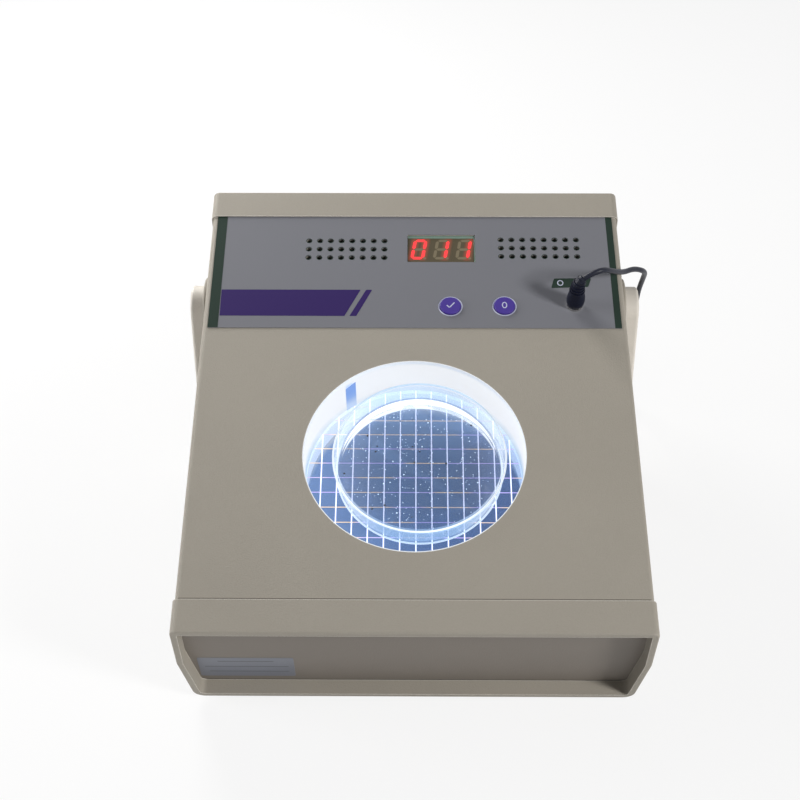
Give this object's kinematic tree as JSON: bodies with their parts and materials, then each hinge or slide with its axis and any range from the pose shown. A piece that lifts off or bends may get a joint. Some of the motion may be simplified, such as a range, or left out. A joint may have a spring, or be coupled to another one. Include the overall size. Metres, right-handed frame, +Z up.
{
  "type": "colony counter",
  "caption": "Bench colony counter: lit round well for a petri dish, sloped panel with numeric display, push buttons and a plugged-in counting pen, on a handle that folds down as a stand.",
  "frame": {"origin": "on the table, under the middle of the box round the instrument and pen without the cord", "axes": "+X to the user's right, +Y from the front bezel to the rear, +Z up; the case leans on its handle"},
  "size_m": [0.2572, 0.313, 0.1561],
  "materials": {
    "case_beige": "fine textured",
    "handle_beige": "satin",
    "panel_grey": "fine textured",
    "overlay_grey": "satin printed sheet",
    "steel": "zinc plated",
    "plated": "nickel plated",
    "foot_rubber": "matt",
    "grip_rubber": "soft satin",
    "well_white": "matt",
    "well_dark": "matt",
    "diffuser": "frosted",
    "clear_plate": "clear",
    "dish_clear": "clear polystyrene",
    "agar": "wet gel",
    "board_green": "solder mask",
    "white_nylon": "matt",
    "black_plastic": "satin",
    "digit_face": "filtered",
    "digit_lit": "lit",
    "digit_dark": "unlit",
    "button_purple": "satin",
    "core_steel": "varnished",
    "cord_black": "satin",
    "tie_black": "satin",
    "pen_body": "satin",
    "pen_point": "satin"
  },
  "bodies": {
    "case": {"front_bezel": "case_beige", "rear_bezel": "case_beige", "top_cover": "case_beige", "bottom_cover": "case_beige", "pivot_boss_left": "case_beige", "pivot_boss_right": "case_beige", "front_panel": "panel_grey", "rear_panel": "panel_grey", "panel_overlay": "overlay_grey", "case_screws": "steel", "foot_screws": "steel", "board_screws": "steel", "pivot_bolts": "steel", "pivot_nuts": "steel", "inlet_contacts": "steel", "transformer_bracket": "steel", "plug_pin": "plated", "jack_nut": "plated", "front_feet": "foot_rubber", "rear_feet": "foot_rubber", "light_drum": "well_white", "lamp_strip": "well_white", "chamber_floor": "well_dark", "diffuser_ring": "diffuser", "grid_plate": "clear_plate", "display_board": "board_green", "main_board": "board_green", "board_standoffs": "white_nylon", "board_pillars": "white_nylon", "button_switches": "black_plastic", "buzzer": "black_plastic", "jack_socket": "black_plastic", "power_inlet": "black_plastic", "fuse_holder": "black_plastic", "fuse_cap": "black_plastic", "rocker_housing": "black_plastic", "digit_modules": "digit_face", "lit_segments": "digit_lit", "dark_segments": "digit_dark", "transformer": "core_steel", "probe_plug": "cord_black", "plug_boot": "cord_black", "probe_cord": "cord_black", "cord_coil": "cord_black", "cord_tail": "cord_black", "pen_boot": "cord_black", "cord_tie": "tie_black", "pen_barrel": "pen_body"},
    "handle": {"handle_left_arm": "handle_beige", "handle_right_arm": "handle_beige", "grip_core": "steel", "grip_sleeve": "grip_rubber", "hub_caps": "handle_beige"},
    "calibrate_button": {"calibrate_button": "button_purple"},
    "reset_button": {"reset_button": "button_purple"},
    "rocker": {"power_rocker": "black_plastic"},
    "dish": {"petri_dish": "dish_clear", "agar_disc": "agar"},
    "pen_point": {"pen_tip": "pen_point"}
  },
  "joints": [
    {"name": "handle_swing", "type": "hinge", "parent": "case", "child": "handle", "pos_m": [0, 0.07003, 0.10892], "axis": [1, 0, 0], "range_deg": [0, 140]},
    {"name": "calibrate_press", "type": "slide", "parent": "case", "child": "calibrate_button", "axis": [0, 0.2838, -0.9589], "range_m": [0, 0.0012], "stiffness_N_per_m": 800, "springref_m": -0.0006},
    {"name": "reset_press", "type": "slide", "parent": "case", "child": "reset_button", "axis": [0, 0.2838, -0.9589], "range_m": [0, 0.0012], "stiffness_N_per_m": 800, "springref_m": -0.0006},
    {"name": "rocker_tip", "type": "hinge", "parent": "case", "child": "rocker", "pos_m": [-0.004, 0.12053, 0.11344], "axis": [1, 0, 0], "range_deg": [0, 20]},
    {"name": "dish_lift", "type": "slide", "parent": "case", "child": "dish", "axis": [0, -0.2838, 0.9589], "range_m": [0, 0.06]},
    {"name": "pen_press", "type": "slide", "parent": "case", "child": "pen_point", "axis": [1, 0, 0], "range_m": [0, 0.001], "stiffness_N_per_m": 600, "springref_m": -0.0005}
  ]
}
